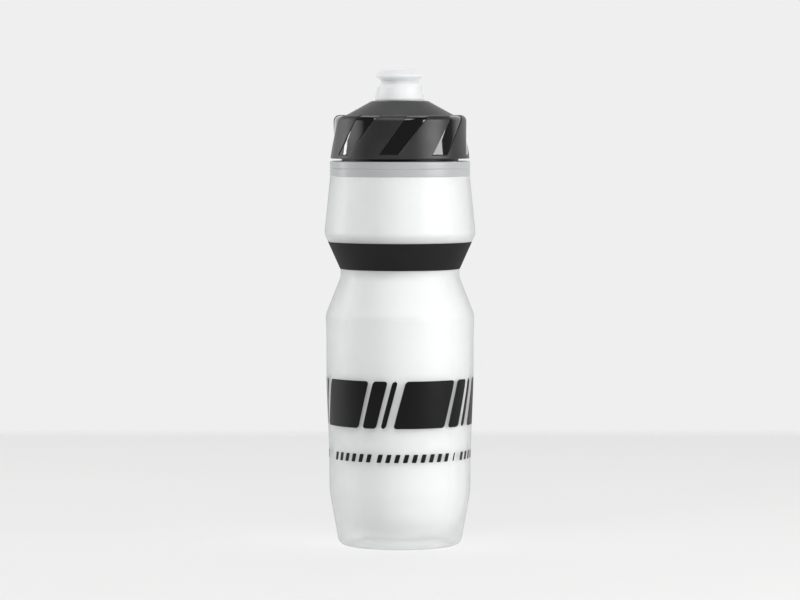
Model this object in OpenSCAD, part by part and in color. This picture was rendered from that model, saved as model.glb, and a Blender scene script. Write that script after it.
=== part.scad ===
// Double-walled squeeze bottle for a bicycle bottle cage, with a screw cap and a push-pull nozzle.
// Millimetres. The bottle stands on the plane Z = 0 with its axis on Z, and its front faces -Y.

/* [Bottle walls] */
// Diameter of the straight stretch that a bottle cage grips
cage_d = 73.4; // [73:0.1:74]
// Diameter of the flat rim that the bottle stands on, where its heel would be a sharp corner
heel_d = 60.8; // [59:0.1:62]
// Diameter at the hip, where the heel's taper ends
hip_d = 70.4; // [70:0.1:71]
// Diameter of the finger groove at the waist
waist_d = 59.2; // [58:0.1:61]
// Diameter of the bulge above the waist
bulge_d = 75.4; // [75:0.1:76]
// Diameter at the top of the outer wall, under the neck collar
shoulder_d = 69.5; // [69:0.1:69.8]
// Thickness of the outer wall
shell_t = 1.1; // [1:0.05:1.3]
// Thickness of the inner wall
liner_t = 0.9; // [0.7:0.05:1.2]
// Air gap between the two walls
air_gap = 0.9; // [0.7:0.05:1.1]
// Height of the inner bottle's floor above the ground
liner_floor = 4.7; // [4.6:0.1:6]

/* [Grip band] */
// Height of the band's lower edge
band_low = 138.1; // [138:0.1:139]
// Height of the band's upper edge
band_high = 151.7; // [150:0.1:152]
// Thickness of the band
band_t = 0.5; // [0.4:0.05:0.6]
// How far the band stands out of its seat in the outer wall
band_proud = 0.15; // [0.1:0.05:0.3]

/* [Neck] */
// Height of the neck collar's top face
collar_top = 191.8; // [191.4:0.1:192.2]
// Height of the neck collar
collar_h = 7.4; // [7:0.1:7.6]
// Outer diameter of the neck collar
collar_d = 70; // [70:0.1:70.6]
// Outer diameter of the neck under its thread
neck_d = 56; // [55:0.1:56.2]
// Diameter of the mouth
mouth_d = 51.4; // [50:0.1:51.8]
// Height of the neck above its collar
neck_h = 17.6; // [17.5:0.1:18]

/* [Screw thread] */
// Rise of the cap in one turn
thread_lead = 5; // [4.8:0.1:5.4]
// Height of the thread's ridge
thread_h = 1.6; // [1.4:0.05:1.7]
// Radial clearance between a crest and the wall it faces
thread_gap = 0.6; // [0.5:0.05:0.6]

/* [Cap] */
// Diameter of the cap at its lower rim
cap_rim_d = 69.4; // [69.2:0.1:70]
// Diameter of the cap's side
cap_side_d = 66.2; // [66.2:0.1:66.8]
// Gap between the collar and the closed cap's rim
cap_gap = 1.3; // [1.1:0.05:1.4]
// Height of the cap's side, from its rim to its shoulder
cap_side_h = 21.6; // [21.4:0.1:22]
// Height of the cap's cone
cone_h = 7; // [6.9:0.1:7.4]
// Thickness of the soft grip skin
skin_t = 0.9; // [0.8:0.05:1]
// Number of slanted windows in the grip skin
windows = 8; // [6:1:9]
// How deep the hard cap lies below the skin in a window
window_sink = 0.3; // [0.2:0.05:0.5]

/* [Nozzle] */
// Travel of the nozzle between closed and open
nozzle_stroke = 5; // [4:0.1:5]
// Height of the closed nozzle above the cap's deck
nozzle_h = 15.3; // [15.2:0.1:16]
// Largest diameter of the nozzle's lip
lip_d = 23.6; // [23:0.1:24.4]
// Diameter of the nozzle's neck under its lip
throat_d = 19; // [19:0.1:19.4]
// Diameter of the nozzle's skirt
skirt_d = 24.8; // [24.4:0.1:25.2]
// Diameter of the drinking hole that the plug closes
orifice_d = 6; // [5.6:0.1:6.2]

/* [Hidden] */
$fn = 96;

// Round corners are drawn with one point every few degrees of turn.
arc_step = 5;
// What a cutter reaches past the surface that it cuts.
past = 0.5;
// Running fit between the plug and the drinking hole.
plug_fit = 0.1;
// Gap between sliding or turning faces of different bodies.
slide_gap = 0.3;

// Heights on the bottle.
hip_z = 27;
belly_z = 46;
cage_low = 82;
cage_high = 105;
crown_z = 115.2;
waist_z = 134;
waist_top = 138;
bulge_z = 155.8;
shell_top = collar_top - collar_h;
neck_top = collar_top + neck_h;

// Heights on the cap.
cap_rim = collar_top + cap_gap;
cap_shoulder = cap_rim + cap_side_h;
deck_top = cap_shoulder + cone_h;
gasket_t = 2;
gasket_top = neck_top + gasket_t;
seat_z = gasket_top + 0.05;

// The neck's ridge: its lower end, the angle where it starts, and half its height at root and tip.
ridge_low = neck_top - 11.5;
ridge_start = 187;
ridge_half = 1.35;
ridge_tip_half = 0.7;

// Radii that several pieces share.
neck_r = neck_d / 2;
mouth_r = mouth_d / 2;
neck_root_r = neck_r + 0.9;
crest_r = neck_r + thread_h;
cap_bore_r = crest_r + thread_gap;
cone_foot_r = 26.9;
cone_top_r = 14;
boss_r = 12.9;
groove_r = 27.7;
window_end_r = 28;
// Angle of the seam of the turned cap faces, between two windows.
seam = 25;

// The nozzle's tower on the cap, and the carrier that slides on it.
tower_r = 6;
tower_bore_r = 4;
bead_r = 6.75;
carrier_bore_r = bead_r + slide_gap;
carrier_r = 8.35;
carrier_lip_r = tower_r + 0.25;
carrier_low = deck_top + 0.1;
carrier_flange_t = 0.8;
lip_top = carrier_low + 1.15;
bead_z = lip_top + nozzle_stroke + 0.4;
seal_d = 1.6;
seal_z = bead_z + 0.8 + seal_d / 2;
tower_top = seal_z + seal_d / 2 + 0.6;
carrier_roof = tower_top + 0.25;
carrier_top = carrier_roof + 1.4;
nozzle_top = deck_top + nozzle_h;

function unit(v) = v / norm(v);
function turned(v, a) = [v.x * cos(a) - v.y * sin(a), v.x * sin(a) + v.y * cos(a)];
function reversed(list) = [for (i = [len(list) - 1:-1:0]) list[i]];

// The corner b of a path a-b-c, rounded to the radius r.
function round_corner(a, b, c, r) =
    let (u = unit(a - b), v = unit(c - b),
         turn = 180 - acos(max(-1, min(1, u * v))),
         way = sign(cross(b - a, c - b)),
         hub = b + unit(u + v) * r / cos(turn / 2),
         start = b + u * r * tan(turn / 2) - hub,
         steps = max(1, round(turn / arc_step)))
    [for (i = [0:steps]) hub + turned(start, way * turn * i / steps)];

// A path of corners [radius from the axis, height, corner radius], with its corners rounded.
function rounded(path) =
    [for (i = [0:len(path) - 1])
        let (b = [path[i].x, path[i].y])
        each (i == 0 || i == len(path) - 1 || path[i].z == 0)
            ? [b]
            : round_corner([path[i - 1].x, path[i - 1].y], b, [path[i + 1].x, path[i + 1].y], path[i].z)];

// The side of the bottle from hip to bulge, moved in by `inset`.
function side_path(inset) = [
    [hip_d / 2 - inset, hip_z, 30],
    [hip_d / 2 + 0.1 - inset, belly_z, 200],
    [cage_d / 2 - inset, cage_low, 200],
    [cage_d / 2 - inset, cage_high, 100],
    [cage_d / 2 + 0.35 - inset, crown_z, 10 - inset],
    [waist_d / 2 - inset, waist_z, 6 + inset],
    [waist_d / 2 + 0.1 - inset, waist_top, 3 + inset],
    [bulge_d / 2 - inset, bulge_z, 5 - inset / 2],
];

// Radius of the outer wall on the straight cone between waist and bulge.
function cone_r(z) =
    let (low = waist_d / 2 + 0.1)
    low + (bulge_d / 2 - low) * (z - waist_top) / (bulge_z - waist_top);

// The bottle's outer wall: a blown shell with a pushed-up base and a seat for the grip band.
module outer_shell() {
    outside = rounded(concat(
        [[0, 3, 0], [19, 3, 3], [24, 0, 1.2], [heel_d / 2, 0, 4]],
        side_path(0),
        [[shoulder_d / 2, shell_top, 0]]));
    inside = rounded(concat(
        [[0, 3 + shell_t, 0], [19.4, 3 + shell_t, 3], [24.3, shell_t, 1.2], [heel_d / 2 - shell_t, shell_t, 3]],
        side_path(shell_t),
        [[shoulder_d / 2 - shell_t, shell_top, 0]]));
    color([0.93, 0.94, 0.95, 0.6])
    difference() {
        rotate_extrude() polygon(concat(outside, reversed(inside)));
        band_ring(past);
    }
}

// The band's outline, which also cuts its seat with extra thickness outside.
module band_ring(extra) {
    outward = band_proud + extra;
    inward = band_proud - band_t;
    rotate_extrude()
    polygon([
        [cone_r(band_low) + inward, band_low],
        [cone_r(band_low) + outward, band_low],
        [cone_r(band_high) + outward, band_high],
        [cone_r(band_high) + inward, band_high],
    ]);
}

// Textured grip band in the seat above the waist.
module grip_band() {
    color([0.12, 0.12, 0.12])
    band_ring(0);
}

// One screw ridge. It fades out over its ends, and its root is sunk into the wall that carries it.
module ridge(root_r, tip_r, low_z, turns, half_root, half_tip) {
    steps = round(turns * 30);
    fade = 3;
    root_sink = 0.45;
    faces_quad = [for (i = [0:steps - 1], k = [0:3])
        [4 * i + k, 4 * i + (k + 1) % 4, 4 * (i + 1) + (k + 1) % 4, 4 * (i + 1) + k]];
    // The order of a section's corners follows the side that the ridge stands on.
    outward = tip_r > root_r;
    sections = [for (i = [0:steps])
        let (a = 360 * turns * i / steps,
             z = low_z + thread_lead * turns * i / steps,
             full = 0.2 + 0.8 * min(1, min(i, steps - i) / fade),
             foot = root_r - sign(tip_r - root_r) * root_sink,
             tip = foot + (tip_r - foot) * full,
             tip_half = half_root + (half_tip - half_root) * full)
        each [for (c = [[foot, -half_root], [tip, -tip_half], [tip, tip_half], [foot, half_root]])
            [c.x * cos(a), c.x * sin(a), z + c.y]]];
    faces = concat(
        [[0, 1, 2, 3]],
        [for (q = faces_quad) each [[q[0], q[2], q[1]], [q[0], q[3], q[2]]]],
        [[4 * steps + 3, 4 * steps + 2, 4 * steps + 1, 4 * steps]]);
    polyhedron(sections, outward ? [for (f = faces) reversed(f)] : faces);
}

// The inner bottle, which holds the drink: its shoulder, its neck and the thread on it.
module inner_bottle() {
    out = shell_t + air_gap;
    in = out + liner_t;
    outside = rounded(concat(
        [[0, liner_floor, 0], [heel_d / 2 + 0.6 - out, liner_floor, 17]],
        side_path(out),
        [[32.7, shell_top + 3.4, 2.5], [neck_root_r, collar_top - 2.6, 1], [neck_root_r, cap_rim + 0.4, 0],
         [neck_r, cap_rim + 0.9, 0], [neck_r, neck_top, 0]]));
    inside = rounded(concat(
        [[0, liner_floor + liner_t, 0], [heel_d / 2 + 0.6 - in, liner_floor + liner_t, 16]],
        side_path(in),
        [[31.8, shell_top + 2.5, 1.6], [mouth_r, collar_top - 3.4, 2], [mouth_r, neck_top, 0]]));
    color([0.96, 0.97, 0.98])
    union() {
        rotate_extrude() polygon(concat(outside, reversed(inside)));
        rotate([0, 0, ridge_start]) ridge(neck_r, crest_r, ridge_low, 1.5, ridge_half, ridge_tip_half);
    }
}

// Collar that closes the air gap: welded to the inner bottle's neck and to the outer wall's rim.
module neck_collar() {
    r = collar_d / 2;
    wall = 1.4;
    groove_z = collar_top - 3.7;
    color([0.8, 0.81, 0.82, 0.7])
    rotate_extrude()
    polygon(concat(
        rounded([[shoulder_d / 2 - shell_t, shell_top, 0], [r, shell_top, 0.3], [r, groove_z - 0.25, 0],
                 [r - 0.3, groove_z, 0], [r, groove_z + 0.25, 0], [r, collar_top, 0.5],
                 [neck_root_r, collar_top, 0]]),
        rounded([[neck_root_r, collar_top - wall, 0], [r - wall, collar_top - wall, 1],
                 [r - wall, shell_top + 0.6, 0], [shoulder_d / 2 - shell_t, shell_top - 2, 0]])));
}

// Flat ring that seals the cap on the neck's rim.
module cap_gasket() {
    color([0.85, 0.85, 0.84])
    difference() {
        translate([0, 0, neck_top]) cylinder(r = cap_bore_r - slide_gap, h = gasket_t);
        translate([0, 0, neck_top - past]) cylinder(r = mouth_r - 0.2, h = gasket_t + 2 * past);
    }
}

// The cap's outer face from rim to deck, moved in by `inset`. It ends on the boss that the nozzle covers.
function cap_path(inset) = [
    [cap_rim_d / 2 - inset, cap_rim, 0],
    [cap_side_d / 2 - 0.1 - inset, cap_rim + 11, 60],
    [cap_side_d / 2 - inset, cap_shoulder - inset, 3 - inset],
    [groove_r, cap_shoulder - inset, 0],
    [cone_foot_r, cap_shoulder - 0.15 - inset, 0],
    [cone_top_r - inset * 0.27, deck_top - inset, 1.2],
];

// A slanted bar that runs out along X through the cap's side: the outline of one window.
module window_bar() {
    foot_z = cap_rim + 1.9;
    foot = [-11.5, -2.6];
    lean = [0.7, 0.81];
    h = cap_shoulder + past - foot_z;
    difference() {
        rotate([90, 0, 90])
        linear_extrude(height = cap_rim_d)
        polygon([[foot[0], foot_z], [foot[1], foot_z], [foot[1] + lean[1] * h, foot_z + h],
                 [foot[0] + lean[0] * h, foot_z + h]]);
        cylinder(r = window_end_r, h = deck_top);
    }
}

// All the window bars around the cap. The first one stands just right of the front.
module window_bars() {
    for (i = [0:windows - 1])
        rotate([0, 0, -87.9 + 360 * i / windows]) window_bar();
}

// Hard glossy cap: threaded skirt, deck, nozzle tower, and lands that fill the skin's windows.
module cap_shell() {
    body = concat(rounded(cap_path(skin_t)), [[boss_r, deck_top - skin_t], [boss_r, deck_top]]);
    tower = [[tower_r, deck_top], [tower_r, bead_z - 0.5], [bead_r, bead_z], [bead_r, bead_z + 0.8],
             [tower_r - 0.6, bead_z + 0.8], [tower_r - 0.6, bead_z + 0.8 + seal_d],
             [bead_r - 0.15, bead_z + 0.8 + seal_d], [bead_r - 0.5, tower_top], [tower_bore_r, tower_top]];
    hollow = rounded([[tower_bore_r, deck_top - 2.4, 0], [cone_top_r - 1.4, deck_top - 2.4, 1],
                      [mouth_r - 1, seat_z + 1.2, 1], [mouth_r - 1, seat_z, 0]]);
    skirt = [[cap_bore_r, seat_z], [cap_bore_r, cap_rim + 0.8], [cap_bore_r + 0.6, cap_rim]];
    color([0.05, 0.05, 0.055])
    union() {
        rotate([0, 0, seam]) rotate_extrude() polygon(concat(body, tower, hollow, skirt));
        rotate([0, 0, ridge_start])
        ridge(cap_bore_r, neck_r + thread_gap, ridge_low - thread_lead / 2, 1.25, ridge_half, ridge_tip_half);
        intersection() {
            skin_ring(window_sink);
            window_bars();
        }
    }
}

// Everything between the hard cap and a face that lies `sink` below the skin's own.
module skin_ring(sink) {
    rotate([0, 0, seam])
    rotate_extrude()
    polygon(concat(rounded(cap_path(sink)), [[boss_r, deck_top - sink], [boss_r, deck_top - skin_t]],
                   reversed(rounded(cap_path(skin_t)))));
}

// Soft grip skin moulded over the cap, open in slanted windows, with a crease at the cone's foot.
module cap_grip() {
    color([0.2, 0.2, 0.21])
    difference() {
        skin_ring(0);
        window_bars();
        translate([0, 0, cap_shoulder - skin_t / 2])
        rotate([0, 0, seam])
        rotate_extrude() translate([(groove_r + cone_foot_r) / 2, 0]) square([0.5, skin_t + 0.2]);
    }
}

// Snap-in core: a plug on a stem, held by three ribs in a ring that sits in the tower's bore.
module valve_core() {
    ring_low = deck_top - 2;
    ring_h = 6;
    color([0.9, 0.9, 0.9])
    union() {
        translate([0, 0, ring_low])
        difference() {
            cylinder(r = tower_bore_r, h = ring_h);
            translate([0, 0, -past]) cylinder(r = tower_bore_r - 0.7, h = ring_h + 2 * past);
        }
        for (a = [90, 210, 330])
            rotate([0, 0, a]) translate([0, -0.4, ring_low]) cube([tower_bore_r - 0.4, 0.8, ring_h]);
        rotate_extrude()
        polygon([[0, ring_low], [1.5, ring_low], [1.5, carrier_roof - 1.2], [orifice_d / 2 - plug_fit, carrier_roof],
                 [orifice_d / 2 - plug_fit, carrier_top - 0.2], [orifice_d / 2 - 0.7, carrier_top + 0.3],
                 [0, carrier_top + 0.3]]);
    }
}

// Ring seal in the tower's groove, which wipes the carrier's bore.
module valve_seal() {
    color([0.15, 0.15, 0.15])
    rotate_extrude()
    translate([carrier_bore_r - 0.05 - seal_d / 2, seal_z]) circle(d = seal_d - 0.02);
}

// Hard sleeve inside the nozzle. Its lip catches under the tower's bead when it is pulled open.
module valve_carrier() {
    flange_r = skirt_d / 2 - 0.1;
    color([0.95, 0.95, 0.96])
    rotate_extrude()
    polygon([[carrier_lip_r, carrier_low], [flange_r, carrier_low], [flange_r, carrier_low + carrier_flange_t],
             [carrier_r, carrier_low + carrier_flange_t], [carrier_r, carrier_roof + 0.2],
             [carrier_r + 0.7, carrier_roof + 0.6], [carrier_r + 0.7, carrier_top], [orifice_d / 2, carrier_top],
             [orifice_d / 2, carrier_roof], [carrier_bore_r, carrier_roof], [carrier_bore_r, lip_top + 0.3],
             [carrier_lip_r, lip_top]]);
}

// Soft mouthpiece: flared skirt, bite lip and a thin dished membrane with a cross slit.
module mouthpiece() {
    hem = carrier_low + carrier_flange_t;
    throat_z = nozzle_top - 6.9;
    outside = rounded([
        [skirt_d / 2 - 1.2, hem, 0],
        [skirt_d / 2 - 0.1, hem, 0.3],
        [skirt_d / 2 - 1.4, throat_z - 1.2, 2],
        [throat_d / 2, throat_z - 0.2, 0.6],
        [throat_d / 2, throat_z + 1.6, 0.8],
        [lip_d / 2, throat_z + 3.6, 0.5],
        [lip_d / 2 - 0.1, throat_z + 4.6, 0.6],
        [lip_d / 2 - 2, nozzle_top, 0.6],
        [6.2, nozzle_top, 0.6],
        [5.2, nozzle_top - 1, 0.6],
        [0, nozzle_top - 1.4, 0],
    ]);
    inside = rounded([
        [0, nozzle_top - 2.3, 0],
        [5.2, nozzle_top - 2, 0.4],
        [6, carrier_top, 0],
        [carrier_r + 0.7, carrier_top, 0],
        [carrier_r + 0.7, carrier_roof + 0.6, 0],
        [carrier_r, carrier_roof + 0.2, 0],
        [carrier_r, throat_z - 1.6, 0.4],
        [skirt_d / 2 - 2.5, throat_z - 2.4, 1],
    ]);
    color([0.9, 0.92, 0.95, 0.8])
    difference() {
        rotate_extrude() polygon(concat(outside, inside));
        for (a = [45, 135])
            rotate([0, 0, a]) translate([-3.2, -0.12, nozzle_top - 3]) cube([6.4, 0.24, 3]);
    }
}

outer_shell();
inner_bottle();
neck_collar();
grip_band();
cap_gasket();
cap_shell();
cap_grip();
valve_core();
valve_seal();
valve_carrier();
mouthpiece();
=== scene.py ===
# %% [markdown]
# # A double-walled squeeze bottle for a bicycle
#
# The bottle has a frosted outer wall, a white inner bottle that holds the drink, a rubber band in
# the groove of its waist, and a black screw cap with a push-pull nozzle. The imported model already
# says where every part is and how it moves. This lesson dresses that model: each part gets a
# finer mesh and the finish of its real plastic, and rides on the same body as before.
#
# Everything is in metres here, but plastic parts are drawn in millimetres, so the outlines below
# are in millimetres and one helper turns them into metres.

# %% Load the frame
import math

import bmesh
import bpy
import numpy as np
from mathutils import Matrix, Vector


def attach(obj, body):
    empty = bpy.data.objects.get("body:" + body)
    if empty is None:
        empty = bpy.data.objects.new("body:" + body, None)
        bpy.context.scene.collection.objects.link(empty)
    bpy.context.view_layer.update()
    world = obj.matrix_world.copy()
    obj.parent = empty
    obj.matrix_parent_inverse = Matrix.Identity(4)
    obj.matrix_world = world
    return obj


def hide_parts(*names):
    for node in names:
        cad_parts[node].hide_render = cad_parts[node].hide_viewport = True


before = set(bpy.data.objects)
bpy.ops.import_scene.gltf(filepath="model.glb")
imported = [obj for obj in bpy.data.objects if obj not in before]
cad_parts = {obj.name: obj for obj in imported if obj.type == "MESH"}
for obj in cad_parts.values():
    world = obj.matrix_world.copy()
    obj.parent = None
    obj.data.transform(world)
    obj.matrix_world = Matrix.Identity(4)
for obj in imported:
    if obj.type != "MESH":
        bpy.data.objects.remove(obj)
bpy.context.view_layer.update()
MM = 0.001

# %% [markdown]
# ## Camera
#
# A bottle on a shop page is shown from far away through a long lens, so that its sides stay
# upright and its rims stay almost straight. The camera stands a little above half height and
# looks slightly down, which shows a sliver of the floor behind the bottle.

# %% Place the camera
CAMERA_DISTANCE = 1.85
CAMERA_HEIGHT = 0.22
CAMERA_PITCH_DEG = 3.02
LENS_MM = 166.9

camera = bpy.data.objects.new("camera", bpy.data.cameras.new("camera"))
bpy.context.scene.collection.objects.link(camera)
camera.location = (0, -CAMERA_DISTANCE, CAMERA_HEIGHT)
camera.rotation_euler = (math.radians(90 - CAMERA_PITCH_DEG), 0, 0)
camera.data.lens = LENS_MM
camera.data.sensor_width = 36
camera.data.clip_start = 0.05
bpy.context.scene.camera = camera
bpy.context.scene.view_settings.view_transform = "Standard"
print("camera stands", CAMERA_DISTANCE, "m in front of the axis")

# %% [markdown]
# ## Colours and nodes
#
# Colours are picked as sRGB hex values, as on a colour card, but Blender's shaders add light, so
# they want linear values. One function does that change. A second one adds a shader node: its
# settings and its links are given by name, so each material below reads as a short list.

# %% Turn a hex colour into linear light
def linear(hex_colour):
    """(red, green, blue, 1) in linear light for an sRGB value such as "#C8CDD0"."""
    parts = [int(hex_colour[i:i + 2], 16) / 255 for i in (1, 3, 5)]
    return tuple(c / 12.92 if c <= 0.04045 else ((c + 0.055) / 1.055) ** 2.4 for c in parts) + (1.0,)


print("mid grey:", [round(c, 3) for c in linear("#808080")])


# %% Add one node with its settings and links
def add(owner, kind, settings={}, links={}):
    """A new node in the owner's tree. A setting is a socket (name or number) or an attribute of the
    node; a link is socket: (node, output)."""
    node = owner.node_tree.nodes.new("ShaderNode" + kind)
    for name, value in settings.items():
        if isinstance(name, str) and name.islower() and hasattr(node, name):
            setattr(node, name, value)
        else:
            node.inputs[name].default_value = value
    for name, (source, output) in links.items():
        owner.node_tree.links.new(source.outputs[output], node.inputs[name])
    return node


def new_material(name):
    """An empty material with object coordinates and an output, which every recipe starts from."""
    material = bpy.data.materials.new(name)
    material.use_nodes = True
    material.node_tree.nodes.clear()
    return material, add(material, "TexCoord")


def per_mm(size):
    """Scale of a texture whose features are this many millimetres apart."""
    return 1 / (size * MM)


# %% [markdown]
# ## Stage
#
# The floor is a pale matt sheet of acrylic on a light table: it glows a little from below, which
# keeps the shadow under the bottle faint and lights its base. The sheet ends a little way behind
# the bottle, and its edge fades out, so sheet and backdrop meet in one faint line.

# %% Make the floor board
FLOOR_HALF = 0.66
FLOOR_FADE = 0.06
FLOOR_GLOW = 0.55

floor_mesh = bmesh.new()
bmesh.ops.create_grid(floor_mesh, x_segments=24, y_segments=24, size=FLOOR_HALF)
floor_data = bpy.data.meshes.new("floor_board")
floor_mesh.to_mesh(floor_data)
floor = bpy.data.objects.new("floor_board", floor_data)
floor.location.z = -0.0002
bpy.context.scene.collection.objects.link(floor)

board, coords = new_material("acrylic_sheet_matt")
# The pigment is not quite even: a cloud 80 mm across moves its tone by under 1%.
cloud = add(board, "TexNoise", {"Scale": per_mm(80), "Detail": 2.0}, {"Vector": (coords, "Object")})
tone = add(board, "ValToRGB", links={"Fac": (cloud, "Fac")})
tone.color_ramp.elements[0].color = linear("#9A9A99")
tone.color_ramp.elements[1].color = linear("#9E9E9D")
paint = add(board, "BsdfPrincipled",
            {"Roughness": 0.85, "Emission Color": (1, 1, 1, 1), "Emission Strength": FLOOR_GLOW},
            {"Base Color": (tone, "Color")})
spot = add(board, "SeparateXYZ", links={0: (add(board, "VectorMath", {"operation": "ABSOLUTE"},
                                                {0: (coords, "Object")}), "Vector")})
reach = add(board, "Math", {"operation": "MAXIMUM"}, {0: (spot, "X"), 1: (spot, "Y")})
fade = add(board, "MapRange", {"From Min": FLOOR_HALF - FLOOR_FADE, "From Max": FLOOR_HALF},
           {"Value": (reach, "Value")})
gone = add(board, "BsdfTransparent")
edge = add(board, "MixShader",
           links={"Fac": (fade, "Result"), 1: (paint, "BSDF"), 2: (gone, "BSDF")})
add(board, "OutputMaterial", links={"Surface": (edge, "Shader")})
floor_data.materials.append(board)
print("floor sheet reaches", FLOOR_HALF, "m each way")

# %% [markdown]
# ## Light
#
# Black gloss plastic is a mirror for the studio. Its narrow white flares come from a tall soft
# box on the right and a strip behind on the left; between them it mirrors the dark room in front.
# A wide box overhead, too high for the cap's side to mirror, lights the white walls.
# The white wall behind the bottle lights its edges, and a white curtain far out on the left gives
# the glossy parts a soft second edge. Both are drawn as the world's glow, under a dark ceiling.
# A camera ray sees all of it as one plain pale grey from every side.

# %% Paint the world
BACKDROP = "#EFEFEF"
# (share of the way from the front to the back of the room, brightness there)
ROOM_GLOW = [(0.30, 0.12), (0.60, 0.14), (0.73, 0.80), (1.0, 0.86)]
LEFT_GLOW = 1.1
CURTAIN_EDGE, CURTAIN_FULL = -0.91, -1.0
CEILING_LOW, CEILING_HIGH, CEILING_DIM = 0.60, 0.85, 0.15

world = bpy.data.worlds.new("studio")
bpy.context.scene.world = world
world.use_nodes = True
world.node_tree.nodes.clear()
sky = add(world, "TexCoord")
way = add(world, "SeparateXYZ", links={0: (sky, "Generated")})
around = add(world, "ValToRGB", links={"Fac": (
    add(world, "MapRange", {"From Min": -1.0, "From Max": 1.0}, {"Value": (way, "Y")}), "Result")})
while len(around.color_ramp.elements) < len(ROOM_GLOW):
    around.color_ramp.elements.new(0.5)
for stop, (place, glow) in zip(around.color_ramp.elements, ROOM_GLOW):
    stop.position = place
    stop.color = (glow, glow, glow, 1)
# A white curtain far out on the left fades towards the camera and towards the back.
curtain = add(world, "MapRange",
              {"From Min": CURTAIN_EDGE, "From Max": CURTAIN_FULL, "To Min": 0.0,
               "To Max": LEFT_GLOW},
              {"Value": (way, "X")})
# The ceiling is dark between the overhead boxes.
ceiling = add(world, "MapRange",
              {"From Min": CEILING_LOW, "From Max": CEILING_HIGH, "To Min": 1.0,
               "To Max": CEILING_DIM},
              {"Value": (way, "Z")})
dimmed = add(world, "VectorMath", {"operation": "MULTIPLY"},
             {0: (around, "Color"), 1: (ceiling, "Result")})
glow_sum = add(world, "VectorMath", {"operation": "ADD"},
               {0: (dimmed, "Vector"), 1: (curtain, "Result")})
room = add(world, "Background", links={"Color": (glow_sum, "Vector")})
plain = add(world, "Background", {"Color": linear(BACKDROP)})
ray = add(world, "LightPath")
seen = add(world, "MixShader",
           links={"Fac": (ray, "Is Camera Ray"), 1: (room, "Background"), 2: (plain, "Background")})
add(world, "OutputWorld", links={"Surface": (seen, "Shader")})
print("backdrop", BACKDROP)


# %% Hang the soft boxes
def soft_box(name, azimuth, distance, height, size, radiance, aim_height=0.12):
    """A rectangular lamp. Azimuth 0 is the camera's side and 90 is to the right of the picture."""
    lamp = bpy.data.lights.new(name, "AREA")
    lamp.shape = "RECTANGLE"
    lamp.size, lamp.size_y = size
    lamp.energy = radiance * math.pi * size[0] * size[1]
    holder = bpy.data.objects.new(name, lamp)
    turn = math.radians(azimuth)
    holder.location = (distance * math.sin(turn), -distance * math.cos(turn), height)
    aim = Vector((0, 0, aim_height)) - holder.location
    holder.rotation_euler = aim.to_track_quat("-Z", "Y").to_euler()
    holder.visible_camera = False
    bpy.context.scene.collection.objects.link(holder)
    print(name, "at", [round(v, 2) for v in holder.location])
    return holder


soft_box("soft_box_right", azimuth=60, distance=1.0, height=0.35, size=(0.60, 0.5), radiance=5.7)
soft_box("strip_left", azimuth=-107, distance=1.0, height=0.35, size=(0.12, 0.7), radiance=6.8)
soft_box("overhead_front", azimuth=-12, distance=1.0, height=1.25, size=(1.5, 0.8), radiance=2.9)
soft_box("overhead_back", azimuth=180, distance=0.35, height=1.5, size=(1.2, 0.9), radiance=0.9)

# %% [markdown]
# ## From an outline to a turned part
#
# Almost every part of this bottle is round: blown in a split mould or moulded round a core. Such
# a part is one outline turned about the axis. The outline is a list of corners, each with its
# radius from the axis, its height and the radius that rounds it, exactly as on a mould drawing.

# %% Round the corners of an outline
ARC_STEP_DEG = 4.0


def rounded(path, step=ARC_STEP_DEG):
    """Points (radius, height) in mm along corners (radius, height, corner radius)."""
    points = []
    for i, (r, z, bend) in enumerate(path):
        corner = Vector((r, z))
        if bend == 0 or i in (0, len(path) - 1):
            points.append((r, z))
            continue
        back, on = Vector(path[i - 1][:2]) - corner, Vector(path[i + 1][:2]) - corner
        u, v = back.normalized(), on.normalized()
        turn = math.pi - math.acos(max(-1, min(1, u.dot(v))))
        side = 1 if (-back).cross(on) > 0 else -1
        hub = corner + (u + v).normalized() * bend / math.cos(turn / 2)
        arm = corner + u * bend * math.tan(turn / 2) - hub
        steps = max(1, round(math.degrees(turn) / step))
        for k in range(steps + 1):
            a = side * turn * k / steps
            points.append((hub.x + arm.x * math.cos(a) - arm.y * math.sin(a),
                           hub.y + arm.x * math.sin(a) + arm.y * math.cos(a)))
    return points


print("a rounded right angle has", len(rounded([(0, 0, 0), (10, 0, 3), (10, 10, 0)])), "points")


# %% Put a mesh into the scene
def place(name, vertices, faces, body, finish, slot=None, replaces=(), smooth_deg=35):
    """A piece from vertices in mm, riding on a body, with its finishes and the CAD nodes it stands for.
    The slot is not used."""
    mesh = bpy.data.meshes.new(name)
    mesh.from_pydata((np.asarray(vertices, float) * MM).tolist(), [], faces)
    for material in finish if isinstance(finish, (list, tuple)) else [finish]:
        mesh.materials.append(material)
    mesh.polygons.foreach_set("use_smooth", [True] * len(mesh.polygons))
    mesh.set_sharp_from_angle(angle=math.radians(smooth_deg))
    piece = bpy.data.objects.new(name, mesh)
    bpy.context.scene.collection.objects.link(piece)
    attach(piece, body)
    if replaces:
        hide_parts(*replaces)
    print(name, "has", len(mesh.vertices), "vertices")
    return piece


# %% Turn an outline about the axis
COLUMNS = 192


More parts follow.
